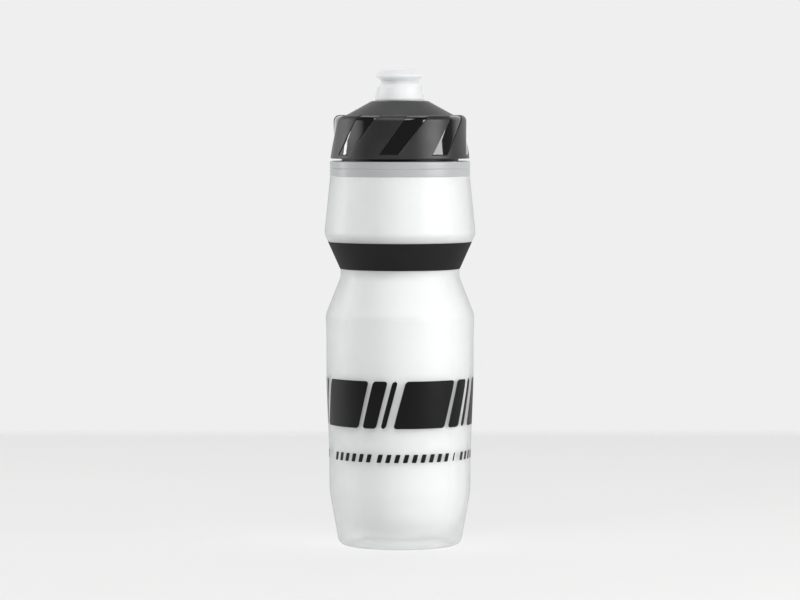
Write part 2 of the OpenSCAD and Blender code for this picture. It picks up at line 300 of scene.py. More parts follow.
def turned(outline, angles=None):
    """Vertices and faces of a closed outline turned about the axis. A point on the axis is one vertex."""
    angles = angles or [360 * k / COLUMNS for k in range(COLUMNS)]
    n = len(angles)
    spin = [(math.cos(math.radians(a)), math.sin(math.radians(a))) for a in angles]
    area = sum(a[0] * b[1] - b[0] * a[1] for a, b in zip(outline, outline[1:] + outline[:1]))
    line = outline if area > 0 else outline[::-1]
    vertices, rows = [], []
    for r, z in line:
        if r < 1e-6:
            rows.append([len(vertices)] * n)
            vertices.append((0, 0, z))
        else:
            rows.append(list(range(len(vertices), len(vertices) + n)))
            vertices += [(r * c, r * s, z) for c, s in spin]
    faces = []
    for low, high in zip(rows, rows[1:] + rows[:1]):
        for k in range(n):
            face = [low[k], low[(k + 1) % n], high[(k + 1) % n], high[k]]
            face = [v for i, v in enumerate(face) if v != face[i - 1]]
            if len(face) > 2:
                faces.append(face)
    return vertices, faces


# %% [markdown]
# ## Outer wall
#
# The outer wall is low-density polyethylene, blown like a balloon inside a split steel mould. The
# mould is blasted with grit, which leaves the outside frosted, while the inside keeps the skin of
# the melt and stays clear. Its natural resin is a cool translucent grey. Seen straight on, the
# white inner bottle shines through it; seen along the wall, at the sides, there is more plastic to
# look through, so the edge turns greyer. A Layer Weight node gives that to the alpha, and it also
# darkens the wall's colour towards the edges: partly the greyer resin, partly painted shade for
# the dark room that the curved wall refracts at its sides.
#
# Real frost passes almost all the light that falls on it, only scattered. So the wall throws no
# shadow on what is inside it, and the inner bottle stays as bright as it really looks.

# %% Frosted polyethylene, outside and inside
frosted, coords = new_material("ldpe_grit_blasted")
# Blasting grit of about 0.4 mm; drawn at 0.6 mm, as it is too fine to show.
grit = add(frosted, "TexNoise", {"Scale": per_mm(0.6), "Detail": 3.0},
           {"Vector": (coords, "Object")})
wave = add(frosted, "TexNoise", {"Scale": per_mm(14), "Detail": 1.0},
           {"Vector": (coords, "Object")})
haze = add(frosted, "MapRange", {"To Min": 0.34, "To Max": 0.46}, {"Value": (wave, "Fac")})
skin_bump = add(frosted, "Bump", {"Strength": 0.10, "Distance": 0.00008}, {"Height": (grit, "Fac")})
blown = add(frosted, "Bump", {"Strength": 0.25, "Distance": 0.0004},
            {"Height": (wave, "Fac"), "Normal": (skin_bump, "Normal")})
depth = add(frosted, "LayerWeight", {"Blend": 0.5})
cover = add(frosted, "ValToRGB", links={"Fac": (depth, "Facing")})
cover.color_ramp.elements[0].color = (0.40, 0.40, 0.40, 1)
cover.color_ramp.elements[0].position = 0.30
cover.color_ramp.elements[1].color = (0.92, 0.92, 0.92, 1)
cover.color_ramp.elements[1].position = 0.90
# The colour darkens towards the edges: partly the greyer resin, partly painted shade for the dark room
# refracted there.
edge_grey_and_painted_shade = add(frosted, "ValToRGB", links={"Fac": (depth, "Facing")})
edge_grey_and_painted_shade.color_ramp.elements[0].color = linear("#D0D2D2")
edge_grey_and_painted_shade.color_ramp.elements[0].position = 0.80
edge_grey_and_painted_shade.color_ramp.elements[1].color = linear("#A4A7A7")
resin = add(frosted, "BsdfPrincipled", {"IOR": 1.51},
            {"Base Color": (edge_grey_and_painted_shade, "Color"), "Roughness": (haze, "Result"),
             "Normal": (blown, "Normal"),
             "Alpha": (cover, "Color")})
add(frosted, "OutputMaterial", links={"Surface": (resin, "BSDF")})

clear_side, coords = new_material("ldpe_melt_skin")
flow = add(clear_side, "TexNoise", {"Scale": per_mm(9)}, {"Vector": (coords, "Object")})
gloss = add(clear_side, "MapRange", {"To Min": 0.18, "To Max": 0.30}, {"Value": (flow, "Fac")})
melt = add(clear_side, "BsdfPrincipled",
           {"Base Color": linear("#D8DADA"), "IOR": 1.51, "Alpha": 0.10},
           {"Roughness": (gloss, "Result")})
add(clear_side, "OutputMaterial", links={"Surface": (melt, "BSDF")})
print("outer wall finishes:", frosted.name, clear_side.name)


# %% [markdown]
# The wall's outline is kept at hand as a function of how far it is moved in, because the inner
# bottle, the band and the print all follow it.

# %% Outline of the bottle's side
SHELL_T = 1.1
AIR_GAP = 0.9
LINER_T = 0.9
HEEL_R, WAIST_R, BULGE_R = 30.4, 29.6, 37.7
SHELL_TOP = 184.4
SHOULDER_R = 34.75
GROOVE_TOP_Z, BULGE_Z = 138, 155.8


def side(inset):
    """Corners of the bottle's side from hip to bulge, moved in by `inset` mm."""
    return [(35.2 - inset, 27, 30), (35.3 - inset, 46, 200), (36.7 - inset, 82, 200),
            (36.7 - inset, 105, 100),
            (37.05 - inset, 115.2, 10 - inset), (WAIST_R - inset, 134, 6 + inset),
            (WAIST_R + 0.1 - inset, GROOVE_TOP_Z, 3 + inset),
            (BULGE_R - inset, BULGE_Z, 5 - inset / 2)]


wall_outside = rounded([(0, 3, 0), (19, 3, 3), (24, 0, 1.2), (HEEL_R, 0, 4)] + side(0)
                       + [(SHOULDER_R, SHELL_TOP, 0)])
wall_inside = rounded([(0, 3 + SHELL_T, 0), (19.4, 3 + SHELL_T, 3), (24.3, SHELL_T, 1.2),
                       (HEEL_R - SHELL_T, SHELL_T, 3)]
                      + side(SHELL_T) + [(SHOULDER_R - SHELL_T, SHELL_TOP, 0)])

# %% [markdown]
# The two halves of the mould meet at the left and right of the bottle. The melt creeps a few
# hundredths of a millimetre into that joint, which leaves a fine raised line up each side and a
# pinched seam across the base. Extra columns near the joint give it real thickness.

# %% Blow the outer wall
SEAM_H = 0.03
SEAM_HALF_W = 0.35

seam_steps = [s * d for d in (0.25, 0.5, 0.9) for s in (-1, 1)]
wall_angles = sorted({round(360 * k / COLUMNS, 4) for k in range(COLUMNS)}
                     | {(a + d) % 360 for a in (0, 180) for d in seam_steps})
vertices, faces = turned(wall_outside + wall_inside[::-1], wall_angles)
wall_points = {(round(r, 5), round(z, 5)) for r, z in wall_outside}
raised = []
for x, y, z in vertices:
    r = math.hypot(x, y)
    lift = SEAM_H * math.exp(-(y / SEAM_HALF_W) ** 2)
    under_band = 137 < z < 153
    if (round(r, 5), round(z, 5)) in wall_points and r < BULGE_R - 0.3 and z > 4 and not under_band:
        x *= 1 + lift / r
    raised.append((x, y, z))
shell = place("outer_wall", raised, faces, "bottle", [frosted, clear_side], "frosted_wall",
              ["outer_shell"])
inner_points = {(round(r, 5), round(z, 5)) for r, z in wall_inside}
vertex_inside = [(round(math.hypot(x, y), 5), round(z, 5)) in inner_points for x, y, z in vertices]
for polygon in shell.data.polygons:
    polygon.material_index = int(all(vertex_inside[v] for v in polygon.vertices))
shell.visible_shadow = False

# %% [markdown]
# ## Inner bottle
#
# The inner bottle holds the drink and keeps an air gap of 0.9 mm from the outer wall. It is blown
# too, from polyethylene with white pigment, so light soaks a little way into it and comes out
# soft: that is subsurface scattering, with a radius of about a millimetre in a milky plastic.

# %% White polyethylene
milky, coords = new_material("ldpe_white_blown")
draw = add(milky, "Mapping", {"Scale": (1, 1, 0.08)}, {"Vector": (coords, "Object")})
# The parison is drawn downwards as it hangs, which leaves streaks about 3 mm apart.
streak = add(milky, "TexNoise", {"Scale": per_mm(3), "Detail": 2.0}, {"Vector": (draw, "Vector")})
satin = add(milky, "MapRange", {"To Min": 0.40, "To Max": 0.52}, {"Value": (streak, "Fac")})
ripple = add(milky, "Bump", {"Strength": 0.15, "Distance": 0.0001}, {"Height": (streak, "Fac")})
white = add(milky, "BsdfPrincipled",
            {"Base Color": linear("#FBFCFC"), "IOR": 1.51, "Subsurface Weight": 0.15,
             "Subsurface Radius": (1.0, 1.0, 1.0), "Subsurface Scale": 0.001},
            {"Roughness": (satin, "Result"), "Normal": (ripple, "Normal")})
add(milky, "OutputMaterial", links={"Surface": (white, "BSDF")})

# %% Blow the inner bottle
FLOOR_Z = 4.7
COLLAR_TOP = 191.8
CAP_RIM = 193.1
NECK_TOP = 209.4
NECK_R, NECK_ROOT_R, MOUTH_R = 28.0, 28.9, 25.7

out, within = SHELL_T + AIR_GAP, SHELL_T + AIR_GAP + LINER_T
liner_outside = rounded([(0, FLOOR_Z, 0), (HEEL_R + 0.6 - out, FLOOR_Z, 17)] + side(out)
                        + [(32.7, SHELL_TOP + 3.4, 2.5), (NECK_ROOT_R, COLLAR_TOP - 2.6, 1),
                           (NECK_ROOT_R, CAP_RIM + 0.4, 0.3), (NECK_R, CAP_RIM + 0.9, 0.4),
                           (NECK_R, NECK_TOP, 0.5),
                           (NECK_R - 1.2, NECK_TOP, 0)])
liner_inside = rounded([(0, FLOOR_Z + LINER_T, 0),
                        (HEEL_R + 0.6 - within, FLOOR_Z + LINER_T, 16)] + side(within)
                       + [(31.8, SHELL_TOP + 2.5, 1.6), (MOUTH_R, COLLAR_TOP - 3.4, 2),
                          (MOUTH_R, NECK_TOP, 0.4),
                          (MOUTH_R + 0.9, NECK_TOP, 0)])
vertices, faces = turned(liner_outside + liner_inside[::-1])
liner = place("inner_bottle_wall", vertices, faces, "bottle", milky, "white_liner",
              ["inner_bottle"])
liner.visible_shadow = False


# %% [markdown]
# ### Screw thread
#
# A bottle thread is one blunt ridge that runs up one and a half turns. Its flanks are slanted so
# that the part leaves its mould, and both ends fade into the wall. The same builder makes the
# cap's thread, which points inwards.

# %% Wind a ridge round a wall
LEAD = 5.0
ROOT_HALF, TIP_HALF = 1.35, 0.7
ROOT_SINK = 0.3
STEPS_PER_TURN = 96
FADE_STEPS = 12


def ridge(root_r, tip_r, low_z, start_deg, turns):
    """Vertices and faces of one screw ridge on the wall at root_r, with its crest at tip_r."""
    section = rounded([(0, -ROOT_HALF, 0), (1, -TIP_HALF, 0.35), (1, TIP_HALF, 0.35),
                       (0, ROOT_HALF, 0)], 12)
    steps = round(turns * STEPS_PER_TURN)
    vertices, faces, n = [], [], len(section)
    for i in range(steps + 1):
        a = math.radians(start_deg + 360 * turns * i / steps)
        grown = math.sin(math.pi / 2 * min(1, min(i, steps - i) / FADE_STEPS))
        foot = root_r - math.copysign(ROOT_SINK, tip_r - root_r)
        for out_share, up in section:
            r = foot + (tip_r - foot) * out_share * (0.12 + 0.88 * grown)
            vertices.append((r * math.cos(a), r * math.sin(a),
                             low_z + LEAD * turns * i / steps + up))
    for i in range(steps):
        for k in range(n):
            faces.append([i * n + k, i * n + (k + 1) % n, (i + 1) * n + (k + 1) % n,
                          (i + 1) * n + k])
    faces += [list(range(n))[::-1], list(range(steps * n, (steps + 1) * n))]
    if tip_r > root_r:
        faces = [face[::-1] for face in faces]
    return vertices, faces


THREAD_START_DEG = 187
CREST_R = NECK_R + 1.6
vertices, faces = ridge(NECK_R, CREST_R, NECK_TOP - 11.5, THREAD_START_DEG, 1.5)
place("neck_thread", vertices, faces, "bottle", milky, "white_liner")

# %% [markdown]
# ## Neck collar
#
# Where the two walls end, a collar is welded over both to shut the air gap. It is injection
# moulded from the same grey resin, so it looks darker than the wall: no white bottle stands right
# behind it. Two fine lines run round it, the groove of the weld and the step down to the wall.

# %% Collar plastic
collar_plastic, coords = new_material("ldpe_collar_moulded")
orange = add(collar_plastic, "TexNoise", {"Scale": per_mm(2.5), "Detail": 2.0},
             {"Vector": (coords, "Object")})
sheen = add(collar_plastic, "MapRange", {"To Min": 0.26, "To Max": 0.36},
            {"Value": (orange, "Fac")})
peel = add(collar_plastic, "Bump", {"Strength": 0.2, "Distance": 0.00006},
           {"Height": (orange, "Fac")})
grey = add(collar_plastic, "BsdfPrincipled",
           {"Base Color": linear("#C0C3C4"), "IOR": 1.51, "Alpha": 0.93},
           {"Roughness": (sheen, "Result"), "Normal": (peel, "Normal")})
add(collar_plastic, "OutputMaterial", links={"Surface": (grey, "BSDF")})

# %% Mould the collar
COLLAR_R = 35.0
COLLAR_WALL = 1.4
WELD_Z = COLLAR_TOP - 3.7
collar = (rounded([(SHOULDER_R - SHELL_T, SHELL_TOP, 0), (COLLAR_R - 0.02, SHELL_TOP, 0.25),
                   (COLLAR_R, WELD_Z - 0.35, 0.15), (COLLAR_R - 0.35, WELD_Z, 0.12),
                   (COLLAR_R, WELD_Z + 0.35, 0.15),
                   (COLLAR_R, COLLAR_TOP, 0.5), (NECK_ROOT_R, COLLAR_TOP, 0)], 12)
          + rounded([(NECK_ROOT_R, COLLAR_TOP - COLLAR_WALL, 0),
                     (COLLAR_R - COLLAR_WALL, COLLAR_TOP - COLLAR_WALL, 1),
                     (COLLAR_R - COLLAR_WALL, SHELL_TOP + 0.6, 0),
                     (SHOULDER_R - SHELL_T, SHELL_TOP - 0.3, 0)], 12))
vertices, faces = turned(collar)
collar_piece = place("collar_ring", vertices, faces, "bottle", collar_plastic, "frosted_collar",
                     ["neck_collar"])
collar_piece.visible_shadow = False


# %% [markdown]
# ## Sheets that wrap round the axis
#
# Three parts are curved sheets with edges of their own: the print, the grip band and the cap's
# skin with its windows. One builder serves them all. It takes a grid of points on the outer face,
# the same grid on the inner face, and which cells of the grid are plastic. It closes the sheet
# along every free edge, so each part is a solid with real thickness.

# %% Build a sheet from two grids
def sheet(outer, inner, kept=None, closed=False):
    """Vertices and faces of a solid sheet between two grids [row][column], open where kept is False.
    A closed sheet's last column joins its first."""
    outer, inner = np.asarray(outer, float), np.asarray(inner, float)
    rows, columns = outer.shape[:2]
    cells = columns if closed else columns - 1
    kept = np.ones((rows - 1, cells), bool) if kept is None else kept
    back = rows * columns
    faces = []
    for i in range(rows - 1):
        for k in range(cells):
            if not kept[i, k]:
                continue
            k2 = (k + 1) % columns
            a, b, c, d = i * columns + k, i * columns + k2, (i + 1) * columns + k2, (i + 1) * columns + k
            faces += [[a, b, c, d], [a + back, d + back, c + back, b + back]]
            left, right = (k - 1) % cells if closed else k - 1, (k + 1) % cells if closed else k + 1
            for here, row, column in (((a, b), i - 1, k), ((b, c), i, right), ((c, d), i + 1, k),
                                      ((d, a), i, left)):
                inside = 0 <= row < rows - 1 and (closed or 0 <= column < cells)
                if not (inside and kept[row, column]):
                    faces.append([here[1], here[0], here[0] + back, here[1] + back])
    points = np.concatenate([outer.reshape(-1, 3), inner.reshape(-1, 3)])
    used = np.unique(np.concatenate([np.asarray(face) for face in faces]))
    new_number = np.full(len(points), -1)
    new_number[used] = np.arange(len(used))
    return points[used], [[int(new_number[v]) for v in face] for face in faces]


def on_axis(r, angle_deg, z):
    """The point at this radius, angle and height; angle 0 faces the camera and grows to the right."""
    a = math.radians(angle_deg - 90)
    return (r * math.cos(a), r * math.sin(a), z)


def wall_radius(z):
    """Radius of the outer wall's outside at a height between its hip and its bulge."""
    heights, radii = zip(*[(h, r) for r, h in wall_outside if h > 10])
    return float(np.interp(z, heights, radii))


print("wall radius under the print:", round(wall_radius(72), 2), "mm")

# %% [markdown]
# ## Print
#
# The wall carries one colour of screen print: large slanted bars all round the belly, and a row
# of small slanted ticks under them. They are plain marks that say nothing. Screen ink is a real
# layer, a few hundredths of a millimetre thick, so it is built as a thin sheet on the wall. It
# dries to a soft satin with a few pinholes.

# %% Screen ink
ink, coords = new_material("screen_ink_black")
mesh_marks = add(ink, "TexNoise", {"Scale": per_mm(0.5), "Detail": 2.0},
                 {"Vector": (coords, "Object")})
satin_ink = add(ink, "MapRange", {"To Min": 0.38, "To Max": 0.50}, {"Value": (mesh_marks, "Fac")})
film = add(ink, "Bump", {"Strength": 0.12, "Distance": 0.00004}, {"Height": (mesh_marks, "Fac")})
pigment = add(ink, "BsdfPrincipled",
              {"Base Color": linear("#0B0B0C"), "IOR": 1.52, "Specular IOR Level": 0.2},
              {"Roughness": (satin_ink, "Result"), "Normal": (film, "Normal")})
add(ink, "OutputMaterial", links={"Surface": (pigment, "BSDF")})

# %% Draw slanted bars on the wall
INK_T = 0.05
INK_SINK = 0.03


def slanted_bar(left, right, low, high, slant, corner):
    """Grids of one bar of ink. left and right are mm along the wall at its lower edge, and slant is
    how far it leans to the right per mm of height."""
    depths = [corner * (1 - math.cos(math.radians(15 * k))) for k in range(7)]
    middle = list(np.linspace(low + corner, high - corner, max(2, round((high - low) / 1.5))))[1:-1]
    rows = [(low + d, d) for d in depths] + [(z, corner) for z in middle] + [(high - d,
            d) for d in depths[::-1]]
    columns = max(4, round((right - left) / 1.5))
    outer, inner = [], []
    for z, d in rows:
        cut = corner - math.sqrt(max(0, corner ** 2 - (corner - d) ** 2))
        lean = slant * (z - low)
        r = wall_radius(z)
        arc = [left + cut + lean + (right - left - 2 * cut) * k / columns for k in range(columns + 1)]
        angles = [math.degrees(a / wall_radius((low + high) / 2)) for a in arc]
        outer.append([on_axis(r + INK_T, a, z) for a in angles])
        inner.append([on_axis(r - INK_SINK, a, z) for a in angles])
    return sheet(outer, inner)


def joined(parts):
    """Vertices and faces of several meshes as one."""
    vertices, faces = [], []
    for more, their_faces in parts:
        faces += [[v + len(vertices) for v in face] for face in their_faces]
        vertices += list(map(tuple, more))
    return vertices, faces


BAR_LOW, BAR_HIGH = 60.8, 84.2
BAR_SLANT = 0.27
MOTIFS = 5
# Left and right edge of each bar in one motif, in mm along the wall.
MOTIF_BARS = [(0.0, 27.0), (29.4, 36.8), (39.2, 41.8)]
pitch = 2 * math.pi * wall_radius((BAR_LOW + BAR_HIGH) / 2) / MOTIFS
bars = [slanted_bar(i * pitch + left - 3.4, i * pitch + right - 3.4, BAR_LOW, BAR_HIGH, BAR_SLANT,
                    1.6)
        for i in range(MOTIFS) for left, right in MOTIF_BARS]
place("print_bars", *joined(bars), "bottle", ink)

TICK_LOW, TICK_HIGH = 44.0, 48.1
TICK_STEP, TICK_WIDTH = 4.4, 2.3
# How many ticks stand together before each gap.
TICK_GROUPS = [6, 9, 1, 5, 4, 1, 7, 8, 5]
ticks, place_along = [], -39.6
for count in TICK_GROUPS:
    for _ in range(count):
        width = TICK_WIDTH if count > 1 else 0.9
        ticks.append(slanted_bar(place_along, place_along + width, TICK_LOW, TICK_HIGH, BAR_SLANT,
                                 0.4))
        place_along += TICK_STEP
    place_along += TICK_STEP * 0.3
place("print_ticks", *joined(ticks), "bottle", ink)
print(len(bars), "bars,", len(ticks), "ticks, ending at", round(place_along, 1), "mm of",
      round(pitch * MOTIFS, 1))

# %% [markdown]
# ## Grip band
#
# A band of soft thermoplastic polyurethane lies in the groove above the waist, where a hand
# closes on a wet bottle. Its face is moulded with a field of tiny flat-topped diamonds, two
# millimetres tall and a little less wide, between plain borders. They are modelled one by one,
# because they catch light along the whole band.

# %% Band rubber
rubber, coords = new_material("tpu_moulded_matt")
bloom = add(rubber, "TexNoise", {"Scale": per_mm(6), "Detail": 3.0}, {"Vector": (coords, "Object")})
dusk = add(rubber, "ValToRGB", links={"Fac": (bloom, "Fac")})
dusk.color_ramp.elements[0].color = linear("#131314")
dusk.color_ramp.elements[1].color = linear("#19191A")
grain = add(rubber, "TexNoise", {"Scale": per_mm(0.25)}, {"Vector": (coords, "Object")})
tooth = add(rubber, "Bump", {"Strength": 0.2, "Distance": 0.00004}, {"Height": (grain, "Fac")})
matt = add(rubber, "MapRange", {"To Min": 0.55, "To Max": 0.68}, {"Value": (bloom, "Fac")})
tpu = add(rubber, "BsdfPrincipled", {"IOR": 1.50, "Specular IOR Level": 0.25},
          {"Base Color": (dusk, "Color"), "Roughness": (matt, "Result"),
           "Normal": (tooth, "Normal")})
add(rubber, "OutputMaterial", links={"Surface": (tpu, "BSDF")})

# %% Mould the band
BAND_LOW, BAND_HIGH = 138.1, 151.7
BAND_T, BAND_PROUD = 0.5, 0.15
BORDER = 0.9
DIAMONDS = 116
DIAMOND_H = 0.14
DIAMOND_TALL = 1.93
QUARTERS = 4

taper = (BULGE_R - WAIST_R - 0.1) / (BULGE_Z - GROOVE_TOP_Z)
slope = math.hypot(1, taper)
field = (BAND_HIGH - BAND_LOW) * slope - 2 * BORDER
rows_of = round(field / DIAMOND_TALL * QUARTERS)
heights = ([BAND_LOW, BAND_LOW + 0.15]
           + [BAND_LOW + (BORDER + field * k / rows_of) / slope for k in range(rows_of + 1)]
           + [BAND_HIGH - 0.15, BAND_HIGH])
outer, inner = [], []
for i, z in enumerate(heights):
    base = WAIST_R + 0.1 + taper * (z - GROOVE_TOP_Z)
    step = i - 2
    textured = 0 <= step <= rows_of
    line = []
    for k in range(DIAMONDS * QUARTERS):
        across = abs((k / QUARTERS) % 1 - 0.5) * 2
        along = abs((step / QUARTERS) % 1 - 0.5) * 2
        near = max(1 - across - along, across + along - 1)
        h = DIAMOND_H * min(1, near / 0.6) if textured else (DIAMOND_H if 0 < i < len(heights) - 1 else 0.0)
        line.append(on_axis(base + BAND_PROUD - DIAMOND_H + h, 360 * k / (DIAMONDS * QUARTERS), z))
    outer.append(line)
    inner.append([on_axis(base + BAND_PROUD - BAND_T, 360 * k / (DIAMONDS * QUARTERS), z)
                  for k in range(DIAMONDS * QUARTERS)])
vertices, faces = sheet(outer, inner, closed=True)
place("band_with_diamonds", vertices, faces, "bottle", rubber, "band_rubber", ["grip_band"],
      smooth_deg=9)
print(DIAMONDS, "diamonds round,", round(rows_of / QUARTERS, 1), "rows")

# %% [markdown]
# ## Cap, first shot: hard gloss plastic
#
# The cap is moulded in two shots. The first is hard polypropylene: the threaded skirt, the deck
# and the little tower that the nozzle slides on. Its slanted lands fill the windows of the second
# shot. The mould is polished there, so the lands are glossy enough to mirror the soft boxes.

# %% Polished polypropylene
gloss_black, coords = new_material("pp_polished_black")
# Handling leaves scuffs a few mm long; they only roughen the gloss.
scuff = add(gloss_black, "TexNoise", {"Scale": per_mm(4), "Detail": 6.0, "Roughness": 0.7},
            {"Vector": (coords, "Object")})
mirror = add(gloss_black, "MapRange",
             {"From Min": 0.35, "From Max": 0.75, "To Min": 0.05, "To Max": 0.12},
             {"Value": (scuff, "Fac")})
sink_marks = add(gloss_black, "TexNoise", {"Scale": per_mm(10)}, {"Vector": (coords, "Object")})
shrink = add(gloss_black, "Bump", {"Strength": 0.12, "Distance": 0.0002},
             {"Height": (sink_marks, "Fac")})
black = add(gloss_black, "BsdfPrincipled",
            {"Base Color": linear("#0B0B0D"), "IOR": 1.50, "Coat Weight": 1.0,
             "Coat Roughness": 0.04, "Coat IOR": 1.5},
            {"Roughness": (mirror, "Result"), "Normal": (shrink, "Normal")})
add(gloss_black, "OutputMaterial", links={"Surface": (black, "BSDF")})

# %% [markdown]
# ### The cap's outline
#
# Skin and hard shell share one outline, moved in by the depth of each face: 0 for the skin,
# 0.3 mm for the lands and 0.9 mm for the shell under the skin. It is cut into four stretches,
# from the rim up to the windows' feet, up the side and over the shoulder to the windows' ends,
# through the crease, and up the cone. Each stretch has the same number of rows at every depth.

# %% Outline of the cap at a depth
SKIN_T = 0.9
LAND_SINK = 0.3
CAP_RIM_R, CAP_SIDE_R = 34.7, 33.1
SHOULDER_Z, DECK_Z = 214.7, 221.7
FLARE_H = 11
FOOT_Z = CAP_RIM + 1.9
WINDOW_END_R = 28.0
CREASE_OUT, CREASE_IN = 27.7, 26.9
CONE_TOP_R, BOSS_R = 14.0, 12.9
SIDE_ROWS, CONE_ROWS = 76, 22


def spaced(points, count):
    """The same line as count + 1 evenly spaced points."""
    along = np.concatenate([[0], np.cumsum([math.dist(a, b) for a, b in zip(points, points[1:])])])
    wanted = np.linspace(0, along[-1], count + 1)
    return [(float(np.interp(w, along, [p[0] for p in points])),
             float(np.interp(w, along, [p[1] for p in points])))
            for w in wanted]


def cap_line(d, rim_round=0.35, crease=0.45):
    """Rows of the cap's outline at depth d, and the row numbers of the windows' feet and ends."""
    foot_r = CAP_RIM_R - (CAP_RIM_R - CAP_SIDE_R + 0.1) / FLARE_H * (FOOT_Z - CAP_RIM) - d
    if d:
        rim = spaced([(CAP_RIM_R - d, CAP_RIM), (foot_r, FOOT_Z)], 12)
    else:
        rim = spaced(rounded([(CAP_RIM_R - 0.6, CAP_RIM, 0), (CAP_RIM_R, CAP_RIM, rim_round),
                              (foot_r, FOOT_Z, 0)], 15), 12)
    flank = spaced(rounded([(foot_r, FOOT_Z, 0), (CAP_SIDE_R - 0.1 - d, CAP_RIM + FLARE_H, 60),
                            (CAP_SIDE_R - d, SHOULDER_Z - d, 3 - d),
                            (WINDOW_END_R, SHOULDER_Z - d, 0)], 2), SIDE_ROWS)
    fold = [(CREASE_OUT + 0.08, SHOULDER_Z - d), (CREASE_OUT, SHOULDER_Z - d - 0.06)]
    if d:
        fold += [(27.55, SHOULDER_Z - d), (27.1, SHOULDER_Z - d)]
    else:
        fold += [(CREASE_OUT - 0.1, SHOULDER_Z - crease),
                 (CREASE_IN + 0.1, SHOULDER_Z - crease - 0.05)]
    cone = spaced(rounded([(CREASE_IN, SHOULDER_Z - 0.15 - d, 0),
                           (CONE_TOP_R - 0.27 * d, DECK_Z - d, 1.2),
                           (BOSS_R, DECK_Z - d, 0)]), CONE_ROWS)
    foot_row, end_row = len(rim) - 1, len(rim) - 1 + SIDE_ROWS
    return rim[:-1] + flank + fold + cone, foot_row, end_row


skin_rows, foot_row, end_row = cap_line(0)
under_rows = cap_line(SKIN_T)[0]
print(len(skin_rows), "rows; windows run from row", foot_row, "to", end_row)

# %% [markdown]
# ### Slanted windows
#
# Each window is a bar that leans to the right and widens a little as it rises. Its two edges are
# straight in the mould, which opens outwards, so at each row the edge's angle comes from how far
# sideways the bar stands there and from the radius of that row.

# %% Angles of a window's edges
WINDOWS = 8
WINDOW_TURN_DEG = 2.1
BAR_FEET = (-11.5, -2.6)
BAR_LEANS = (0.70, 0.81)


def window_edges(r, z):
    """Angles in degrees of the left and right edge of the first window at a row of the cap."""
    rise = min(max(z - FOOT_Z, 0), SHOULDER_Z - FOOT_Z)
    reach = max(r, WINDOW_END_R - 1)
    return [WINDOW_TURN_DEG + math.degrees(math.asin((foot + lean * rise) / reach))
            for foot, lean in zip(BAR_FEET, BAR_LEANS)]


print("window at its foot:", [round(a, 1) for a in window_edges(34, FOOT_Z)], "degrees")


# %% Round an edge by sinking the rows and columns next to it
def edge_drop(distance, radius):
    """How far a face lies below its level, this far from a rounded edge."""
    return radius - math.sqrt(radius ** 2 - (radius - distance) ** 2) if distance < radius else 0.0


def sunk(point, under, drop):
    """The point moved towards the one under it."""
    a, b = Vector(point), Vector(under)
    return tuple(a + (b - a).normalized() * drop)


# %% [markdown]
# ## Cap, second shot: soft skin
#
# The second shot is a soft-touch elastomer, moulded over the hard cap as a skin 0.9 mm thick for
# grip. Spark erosion roughens its mould with pits of about 0.3 mm, which turns the flares of the
# soft boxes into broad grey sheens. The skin stops at each window with a small round edge.

# %% Soft-touch elastomer
soft_touch, coords = new_material("tpe_spark_eroded")
pits = add(soft_touch, "TexNoise", {"Scale": per_mm(0.3), "Detail": 2.0},
           {"Vector": (coords, "Object")})
rub = add(soft_touch, "TexNoise", {"Scale": per_mm(11), "Detail": 3.0},
          {"Vector": (coords, "Object")})
worn = add(soft_touch, "MapRange", {"To Min": 0.40, "To Max": 0.50}, {"Value": (rub, "Fac")})
pitted = add(soft_touch, "Bump", {"Strength": 0.22, "Distance": 0.00005}, {"Height": (pits, "Fac")})
charcoal = add(soft_touch, "ValToRGB", links={"Fac": (rub, "Fac")})
charcoal.color_ramp.elements[0].color = linear("#131316")
charcoal.color_ramp.elements[1].color = linear("#19191D")
elastomer = add(soft_touch, "BsdfPrincipled",
                {"IOR": 1.50, "Specular IOR Level": 0.75, "Sheen Weight": 0.16,
                 "Sheen Roughness": 0.3},
                {"Base Color": (charcoal, "Color"), "Roughness": (worn, "Result"),
                 "Normal": (pitted, "Normal")})
add(soft_touch, "OutputMaterial", links={"Surface": (elastomer, "BSDF")})

# %% Mould the skin over the cap
EDGE_R = 0.28
EDGE_STEPS = [0.0, 0.04, 0.11, 0.2, EDGE_R]
SKIN_COLUMNS, WINDOW_COLUMNS = 9, 7


def skin_columns(r, z):
    """(angle, mm to the nearest window edge) of each column of the skin at a row, all the way round."""
    left, right = window_edges(r, z)
    to_next = left + 360 / WINDOWS - right
    mm = math.degrees(1 / r)
    columns = []
    for i in range(WINDOWS):
        turn = 360 * i / WINDOWS
        inside = [EDGE_STEPS[-1] * mm + (to_next - 2 * EDGE_STEPS[-1] * mm) * k / SKIN_COLUMNS
                  for k in range(1, SKIN_COLUMNS)]
        columns += [(turn + right + d * mm, d) for d in EDGE_STEPS]
        columns += [(turn + right + a, 9.0) for a in inside]
        columns += [(turn + right + to_next - d * mm, d) for d in EDGE_STEPS[::-1]]
        columns += [(turn + right + to_next + (right - left) * k / WINDOW_COLUMNS, 0.0)
                    for k in range(1, WINDOW_COLUMNS)]
    return columns


